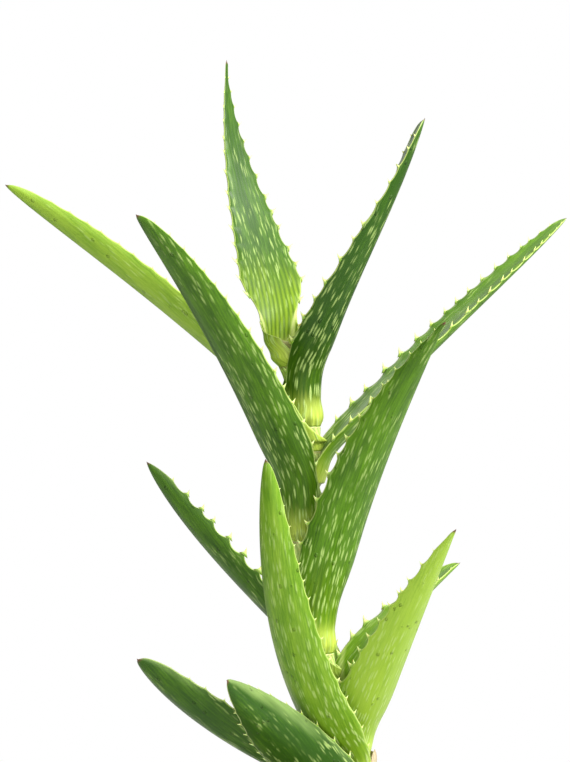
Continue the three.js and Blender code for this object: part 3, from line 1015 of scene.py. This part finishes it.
def stem_paint(f):
    _, (height, around, below) = f.stored("stem_place")
    patches = f.noise(f.stretched(f.place(), (90.0, 90.0, 30.0)), 1.0)
    lines = (around * 3.0 + patches * 5.0).wave() * 0.5 + 0.5
    cane = f.mix((0.62, 0.74, 0.24), (0.34, 0.44, 0.10), patches.rise(0.45, 0.75) * 0.6)
    cane = f.mix(cane, (0.20, 0.33, 0.04), below.rise(14.0, 3.0) * lines * 0.7)
    cane = f.mix(cane, (0.25, 0.19, 0.08), below.rise(1.6, 0.4) * 0.6)
    cane = f.mix(cane, (0.30, 0.24, 0.13), height.rise(112.0, 98.0) * 0.8)
    f.paint(Base_Color=cane, Roughness=0.42 + patches * 0.2)
    f.relief(lines * 0.3 + patches * 0.7, 0.0003)


stem_finish = Finish("stem_skin", Subsurface_Weight=0.12, Subsurface_Scale=0.004)
stem_paint(stem_finish)
stem = shown("stem_skin", stem_mesh())
stem.data.materials.append(stem_finish.material)
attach(stem, "root")
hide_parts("stem")
print("stem:", len(stem.data.polygons), "faces")

# %% [markdown]
# ## Clay pot
# The pot is thrown clay: one outline turned about an axis. Geometry Nodes can turn it by rule, from
# a grid whose one side becomes the angle and whose other side runs along the outline. The outline
# is read from the frame, where the pot's facets meet the plane of its first corner. Drill-shaped
# cylinders then cut the three drain holes, as in the real pot's foot.

# %% The pot's outline
TOUCH = 0.01 * MM
WALL_SHARE = 0.3  # of the pot's reach: the wall's own corners lie outside it
CORNER = 0.6 * MM


def pot_outline():
    """The pot's outline from the outside of its foot to the inside of its floor."""
    points, near = net_of("pot")
    inside = WALL_SHARE * points[:, 0].max()
    flat = {i for i, p in enumerate(points) if abs(p[1]) < TOUCH and p[0] > inside}
    low = points[list(flat), 2].min()
    on_foot = [i for i in flat if points[i, 2] < low + TOUCH]
    walk = [max(on_foot, key=lambda i: points[i, 0])]
    while True:
        onward = [n for n in near[walk[-1]] & flat if n not in walk and n not in on_foot]
        if not onward:
            return points[walk][:, [0, 2]]
        walk.append(min(onward, key=lambda n: np.linalg.norm(points[n] - points[walk[-1]])))


def rounded(outline, rounds):
    """The outline with its corners cut, so that they turn softly."""
    for _ in range(rounds):
        start, end = outline[:-1], outline[1:]
        length = np.linalg.norm(end - start, axis=1)[:, None]
        cut = (end - start) * np.minimum(0.25, CORNER / np.maximum(length, 1e-9))
        pair = np.stack([start + cut, end - cut], axis=1)
        outline = np.vstack([outline[:1], pair.reshape(-1, 2)[1:-1], outline[-1:]])
    return outline


OUTLINE = pot_outline()
print("pot outline (mm):", (OUTLINE / MM).round(1).tolist())

# %% [markdown]
# The drain holes are found in the frame too: their rims are the points of the foot's underside that
# lie well inside it, and three round clusters share them.

# %% Turn the pot
POT_SIDES, POT_STEP = 128, 1.1 * MM
HOLES, HOLE_SIDES, DRILL_LENGTH = 3, 32, 60 * MM
FLOOR_RING = 14 * MM  # a ring of points on the floor, inside the holes
SHARP_FOLD = 0.7


def drain_holes():
    """The radius of the circle on which the holes lie, and their own radius."""
    points, _ = net_of("pot")
    reach = np.hypot(points[:, 0], points[:, 1])
    rims = points[(points[:, 2] < TOUCH) & (reach > 5 * MM) & (reach < OUTLINE[0, 0] * 0.8)]
    first = rims[np.abs(np.arctan2(rims[:, 1], rims[:, 0])) < 0.5]
    middle = (first.min(0) + first.max(0)) / 2
    return float(np.hypot(middle[0], middle[1])), float(np.ptp(first[:, 1]) / 2)


def pot_tree():
    tree = Tree("turned_pot", {"Sides": "Int", "Outline points": "Int", "Holes": "Int",
                               "Hole circle": "Float", "Hole radius": "Float", "Finish": "Material"})
    grid = tree.node("GeometryNodeMeshGrid", {}, {
        "Size X": 1.0, "Size Y": 1.0, "Vertices X": tree.input("Sides"),
        "Vertices Y": tree.input("Outline points")})
    where = tree.parts(tree.node("GeometryNodeInputPosition"))
    turn = tree.maths("MULTIPLY", where[0], 2 * np.pi)
    wire = tree.node("GeometryNodeMeshToCurve", {}, {"Mesh": tree.input("Geometry")})
    sample = tree.node("GeometryNodeSampleCurve", {"mode": "FACTOR"}, {
        "Curves": wire, "Factor": tree.maths("ADD", where[1], 0.5)})
    point = tree.parts(sample.outputs["Position"])
    placed = tree.node("ShaderNodeCombineXYZ", {}, {
        0: tree.maths("MULTIPLY", point[0], tree.maths("COSINE", turn)),
        1: tree.maths("MULTIPLY", point[0], tree.maths("SINE", turn)), 2: point[2]})
    clay = tree.node("GeometryNodeSetPosition", {}, {0: grid, "Position": placed})
    closed = tree.node("GeometryNodeMergeByDistance", {}, {0: clay, "Distance": 2 * TOUCH})
    spots = tree.node("GeometryNodeMeshCircle", {}, {
        "Vertices": tree.input("Holes"), "Radius": tree.input("Hole circle")})
    drill = tree.node("GeometryNodeMeshCylinder", {}, {
        "Vertices": HOLE_SIDES, "Radius": tree.input("Hole radius"), "Depth": DRILL_LENGTH})
    drills = tree.node("GeometryNodeInstanceOnPoints", {}, {"Points": spots, "Instance": drill})
    real = tree.node("GeometryNodeRealizeInstances", {}, {0: drills})
    cut = tree.node("GeometryNodeMeshBoolean", {"operation": "DIFFERENCE", "solver": "EXACT"}, {
        "Mesh 1": closed, "Mesh 2": real})
    fold = tree.node("GeometryNodeInputMeshEdgeAngle")
    flat = tree.node("FunctionNodeCompare", {"data_type": "FLOAT", "operation": "LESS_THAN"}, {
        0: fold, 1: SHARP_FOLD})
    smooth = tree.node("GeometryNodeSetShadeSmooth", {"domain": "FACE"}, {
        0: cut, "Shade Smooth": True})
    kept = tree.node("GeometryNodeSetShadeSmooth", {"domain": "EDGE"}, {
        0: smooth, "Shade Smooth": flat})
    tree.finish(kept, tree.input("Finish"))
    return tree


def outline_mesh():
    """The rounded outline as a chain of edges, closed to the axis below and above the floor."""
    soft = rounded(OUTLINE, 3)
    under, over = soft[0, 1], soft[-1, 1]
    soft = np.vstack([[0, under], [FLOOR_RING, under], soft, [FLOOR_RING, over], [0, over]])
    points = [(r, 0.0, z) for r, z in soft]
    mesh = bpy.data.meshes.new("outline")
    mesh.from_pydata(points, [(i, i + 1) for i in range(len(points) - 1)], [])
    return mesh, float(np.linalg.norm(np.diff(soft, axis=0), axis=1).sum())


clay_finish = Finish("clay", Specular_IOR_Level=0.25)
POT_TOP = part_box("pot")[1].z


def clay_paint(f):
    z = f.node("SeparateXYZ", {}, {0: f.place()}, 2)
    broad = f.noise(f.place(), 22.0, 3.0)
    grain = f.noise(f.place(), 1400.0, 3.0)
    throwing = (z * 900.0 + broad * 5.0).wave() * 0.5 + 0.5
    clay = f.mix((0.36, 0.115, 0.05), (0.50, 0.20, 0.10), broad.rise(0.3, 0.75))
    clay = f.mix(clay, (0.30, 0.11, 0.055), grain.rise(0.56, 0.72) * 0.6)
    damp = z.rise(0.034, 0.012) * 0.45
    clay = f.mix(clay, (0.28, 0.12, 0.07), damp * broad.rise(0.2, 0.7))
    near_rim = z.rise(POT_TOP - 0.045, POT_TOP - 0.02)
    bloom_and_sheen = (broad * 0.7 + grain * 0.3 + near_rim * 0.16).rise(0.56, 0.72)
    clay = f.mix(clay, (0.60, 0.46, 0.36), bloom_and_sheen * 0.4)
    f.paint(Base_Color=clay, Roughness=0.80 + grain * 0.16)
    f.relief(grain * 0.5 + throwing * 0.18 + broad * 0.5, 0.0005)


clay_paint(clay_finish)
outline_bed, outline_length = outline_mesh()
hole_circle, hole_radius = drain_holes()
pot = grown("pot_skin", outline_bed, pot_tree(), {
    "Sides": POT_SIDES + 1, "Outline points": int(outline_length / POT_STEP), "Holes": HOLES,
    "Hole circle": hole_circle, "Hole radius": hole_radius, "Finish": clay_finish.material})
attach(pot, "root")
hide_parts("pot")
print("pot:", len(pot.data.polygons), "faces, holes of", round(hole_radius, 4), "at", round(hole_circle, 4))

# %% [markdown]
# ## Soil
# Potting mix settles into a gently uneven ground, a little higher round the stem. The ground is a
# round grid over a body that fills the pot as the frame's soil does, with a socket for the stem.
# Crumbs and grains lie loose on it: Geometry Nodes scatters them, because only their number, size
# and unevenness matter, and not where each one lies.

# %% Soil
GROUND_SIDES, GROUND_RINGS = 160, 46
WAVES, WAVE_SEED = 9, 5
SHORT_WAVE, LONG_WAVE = 6 * MM, 26 * MM
ROUGHNESS, SINK = 0.9 * MM, 0.5 * MM
SOCKET_GAP = 0.4 * MM
LEVEL_SHARE = 0.6
FULL_TURN = 6.28
# How many crumbs to the square metre, their size in millimetres and the seed of their places.
CRUMBS = {"dark_crumbs": (90000.0, 1.5, 21), "bark_crumbs": (26000.0, 2.2, 22),
          "pale_grit": (9000.0, 1.1, 23)}


def uneven(x, y):
    """A smooth random height over the ground, from -1 to 1."""
    chance = np.random.default_rng(WAVE_SEED)
    total = np.zeros_like(x)
    for _ in range(WAVES):
        direction, phase = chance.uniform(0, 2 * np.pi, 2)
        pace = 2 * np.pi / chance.uniform(SHORT_WAVE, LONG_WAVE)
        total += np.sin((x * np.cos(direction) + y * np.sin(direction)) * pace + phase)
    return total / np.sqrt(WAVES) / 1.5


def soil_mesh():
    points, _ = net_of("soil")
    reach = np.hypot(points[:, 0], points[:, 1])
    wall, floor, peak = reach.max(), points[:, 2].min(), points[:, 2].max()
    level = points[reach > wall - TOUCH, 2].max()
    floor_reach = reach[points[:, 2] < floor + TOUCH].max()
    between = (reach < wall - 10 * TOUCH) & (reach > floor_reach + 10 * TOUCH)
    between &= (points[:, 2] > floor + 10 * TOUCH) & (reach > LEVEL_SHARE * wall)
    angles = 2 * np.pi * np.arange(GROUND_SIDES) / GROUND_SIDES

    def ring(radius, height):
        flat = np.ones(GROUND_SIDES)
        return np.column_stack([radius * np.cos(angles), radius * np.sin(angles), height * flat])

    socket = stem_at(peak)[1][0] + SOCKET_GAP
    bottom = STEM_RINGS[0, 0] - SOCKET_GAP
    rings = [ring(socket, bottom)]
    for share in np.linspace(0, 1, GROUND_RINGS):
        x, y = ring(socket + (wall - socket) * share, 0)[:, :2].T
        rough = ROUGHNESS * uneven(x, y) * ease(share * 6) * ease((1 - share) * 9)
        height = level + (peak - level) * (1 - share) + rough - SINK * (1 - share)
        rings.append(np.column_stack([x, y, height]))
    rings += [ring(reach[between].max(), points[between, 2].max()), ring(floor_reach, floor)]
    faces = [(a, d, c, b) for a, b, c, d in ring_faces(len(rings), GROUND_SIDES)]
    count = len(rings) * GROUND_SIDES
    last = count - GROUND_SIDES
    for i in range(GROUND_SIDES):
        onward = (i + 1) % GROUND_SIDES
        faces += [(i, onward, count), (last + onward, last + i, count + 1)]
    corners = np.vstack(rings + [[[0, 0, bottom]], [[0, 0, floor]]])
    return mesh_of("ground", corners, faces)


def crumb_tree():
    """Lumps of uneven size, spun about, on the parts of a mesh that face up."""
    tree = Tree("crumbs_on_soil", {"Crumbs": "Float", "Crumb size": "Float", "Seed": "Int",
                                   "Finish": "Material"})
    up = tree.parts(tree.node("GeometryNodeInputNormal"))
    ground = tree.node("FunctionNodeCompare", {"data_type": "FLOAT", "operation": "GREATER_THAN"}, {
        0: up[2], 1: LEVEL_SHARE})
    strewn = tree.node("GeometryNodeDistributePointsOnFaces", {}, {
        "Mesh": tree.input("Geometry"), "Selection": ground,
        "Density": tree.input("Crumbs"), "Seed": tree.input("Seed")})
    crumb = tree.node("GeometryNodeMeshIcoSphere", {}, {"Radius": 1.0, "Subdivisions": 1})
    lumpy = tree.node("ShaderNodeTexNoise", {}, {"Scale": 1.3})
    centred = tree.node("ShaderNodeVectorMath", {"operation": "SUBTRACT"}, {
        0: lumpy.outputs["Color"], 1: (0.5, 0.5, 0.5)})
    shaped = tree.node("GeometryNodeSetPosition", {}, {0: crumb, "Offset": centred})
    chance = "FunctionNodeRandomValue"
    spin = tree.node(chance, {"data_type": "FLOAT_VECTOR"}, {
        0: (0, 0, 0), 1: (FULL_TURN, FULL_TURN, FULL_TURN), "Seed": 3})
    size = tree.node(chance, {"data_type": "FLOAT_VECTOR"}, {
        0: (0.35, 0.35, 0.3), 1: (1.2, 1.0, 0.8), "Seed": 8})
    scaled = tree.node("ShaderNodeVectorMath", {"operation": "SCALE"}, {
        0: size, "Scale": tree.input("Crumb size")})
    copies = tree.node("GeometryNodeInstanceOnPoints", {}, {
        "Points": strewn, "Instance": shaped, "Rotation": spin,
        "Scale": scaled})
    tree.finish(copies, tree.input("Finish"))
    return tree


def soil_paint(f, dark, light):
    broad = f.noise(f.place(), 60.0, 3.0)
    grain = f.noise(f.place(), 900.0, 4.0)
    brown = f.mix(dark, light, (broad * 0.5 + grain * 0.5).rise(0.35, 0.7))
    f.paint(Base_Color=brown, Roughness=0.86 + grain * 0.12)
    f.relief(grain, 0.0005)


soil_finish, bark_finish, grit_finish = Finish("soil"), Finish("bark_crumbs"), Finish("pale_grit")
soil_paint(soil_finish, (0.030, 0.019, 0.012), (0.115, 0.075, 0.045))
soil_paint(bark_finish, (0.055, 0.030, 0.016), (0.23, 0.13, 0.07))
soil_paint(grit_finish, (0.55, 0.52, 0.46), (0.80, 0.78, 0.72))

ground_mesh = soil_mesh()
ground_mesh.materials.append(soil_finish.material)
CRUMB_TREE = crumb_tree()
crumbs = [grown(name, ground_mesh.copy(), CRUMB_TREE, {
    "Crumbs": number, "Crumb size": size * MM, "Seed": seed, "Finish": finish.material})
    for (name, (number, size, seed)), finish
    in zip(CRUMBS.items(), (soil_finish, bark_finish, grit_finish))]
soil = shown("soil_ground", ground_mesh)
for piece in (soil, *crumbs):
    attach(piece, "root")
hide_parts("soil")
print("soil:", len(ground_mesh.polygons), "faces, crumbs", [len(c.data.polygons) for c in crumbs])

# %% [markdown]
# ## Dry sheaths
# When an old leaf dies, its papery foot stays round the stem, split and frayed. Each is a thin
# shell round the stem between the heights of its frame node, with a torn upper edge and lengthwise
# creases.

# %% Dry sheaths
PAPER_COLUMNS, PAPER_ROWS = 61, 22
PAPER_HALF_TURN = np.radians(150)
PAPER_GAP, PAPER_WALL = 1.4 * MM, 0.3 * MM
CREASE, CREASES = 0.22 * MM, 17
TEAR_STEP = 3


def dry_sheath(node, seed):
    """A double-walled sheet round the stem, in the box of its frame node."""
    chance = np.random.default_rng(seed)
    low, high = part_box(node)
    centre = (np.array(low) + np.array(high)) / 2
    middle, _ = stem_at(centre[2])
    facing = np.arctan2(*(centre - middle[0])[[1, 0]])
    columns = np.arange(PAPER_COLUMNS)
    angles = facing + np.linspace(-1, 1, PAPER_COLUMNS) * PAPER_HALF_TURN
    torn_at = columns[::TEAR_STEP]
    torn = np.interp(columns, torn_at, chance.uniform(0, 1, len(torn_at)))
    tall = 0.30 + 0.55 * np.cos((angles - facing) / 2) ** 6 + 0.15 * torn
    widest = max(abs(low.x - middle[0][0]), abs(high.x - middle[0][0]), abs(low.y), abs(high.y))
    points, places = [], []
    for shell in (0, 1):
        for share in np.linspace(0, 1, PAPER_ROWS):
            heights = low.z + (high.z - low.z) * share * tall
            middles, radii = stem_at(heights)
            flare = (widest - radii - PAPER_GAP - 0.2 * MM) * 0.75 * ease(share) ** 2 * tall
            crease = CREASE * np.sin(angles * CREASES) * share
            reach = radii + PAPER_GAP + np.maximum(flare, 0) + crease - shell * PAPER_WALL
            points.append(middles + np.column_stack(
                [reach * np.cos(angles), reach * np.sin(angles), 0 * angles]))
            places.append(np.column_stack([heights / MM, angles * reach / MM, share + 0 * angles]))
    faces = []

    def at(shell, row, i):
        return (shell * PAPER_ROWS + row) * PAPER_COLUMNS + i

    for row in range(PAPER_ROWS - 1):
        for i in range(PAPER_COLUMNS - 1):
            faces.append((at(0, row, i), at(0, row, i + 1), at(0, row + 1, i + 1), at(0, row + 1, i)))
            faces.append((at(1, row, i), at(1, row + 1, i), at(1, row + 1, i + 1), at(1, row, i + 1)))
        for i, turn in ((0, 1), (PAPER_COLUMNS - 1, -1)):
            edge = (at(0, row, i), at(0, row + 1, i), at(1, row + 1, i), at(1, row, i))
            faces.append(edge[::turn])
    top = PAPER_ROWS - 1
    for i in range(PAPER_COLUMNS - 1):
        faces.append((at(0, 0, i), at(1, 0, i), at(1, 0, i + 1), at(0, 0, i + 1)))
        faces.append((at(0, top, i), at(0, top, i + 1), at(1, top, i + 1), at(1, top, i)))
    mesh = mesh_of(node + "_paper", np.vstack(points), faces)
    store(mesh, "paper_place", np.vstack(places))
    return mesh


def paper_paint(f):
    place, (_, around, up) = f.stored("paper_place")
    blotch = f.noise(f.stretched(place, (0.2, 0.9, 1.0)), 1.0, 3.0)
    fibres = (around * 7.0 + blotch * 4.0).wave() * 0.5 + 0.5
    paper = f.mix((0.50, 0.42, 0.25), (0.66, 0.62, 0.44), blotch.rise(0.35, 0.65))
    paper = f.mix(paper, (0.30, 0.21, 0.11), fibres * 0.35 + up.rise(0.75, 1.0) * 0.5)
    f.paint(Base_Color=paper)
    f.relief(fibres * 0.5 + blotch * 0.5, 0.0003)


paper_finish = Finish("dry_leaf", Roughness=0.85)
paper_paint(paper_finish)
for seed, node in enumerate(sorted(name for name in frame["nodes"] if name.startswith("dry_sheath"))):
    paper_mesh = dry_sheath(node, 40 + seed)
    paper_mesh.materials.append(paper_finish.material)
    piece = shown(node + "_paper", paper_mesh)
    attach(piece, "root")
    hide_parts(node)
    print(node, "faces:", len(paper_mesh.polygons))

# %% [markdown]
# ## Floor
# The pot stands on a pale, even floor.

# %% Floor
FLOOR_SIDES, FLOOR_DROP = 96, 0.4 * MM
round_floor = [(FLOOR_RADIUS * np.cos(a), FLOOR_RADIUS * np.sin(a), -FLOOR_DROP)
               for a in 2 * np.pi * np.arange(FLOOR_SIDES) / FLOOR_SIDES]
floor_finish = Finish("pale_floor", Roughness=0.9)
floor_finish.paint(Base_Color=floor_finish.mix((0.60, 0.60, 0.59), (0.64, 0.64, 0.63),
                                               floor_finish.noise(floor_finish.place(), 3.0)))
floor = shown("floor", mesh_of("floor", round_floor, [tuple(range(FLOOR_SIDES))], smooth=False))
floor.data.materials.append(floor_finish.material)
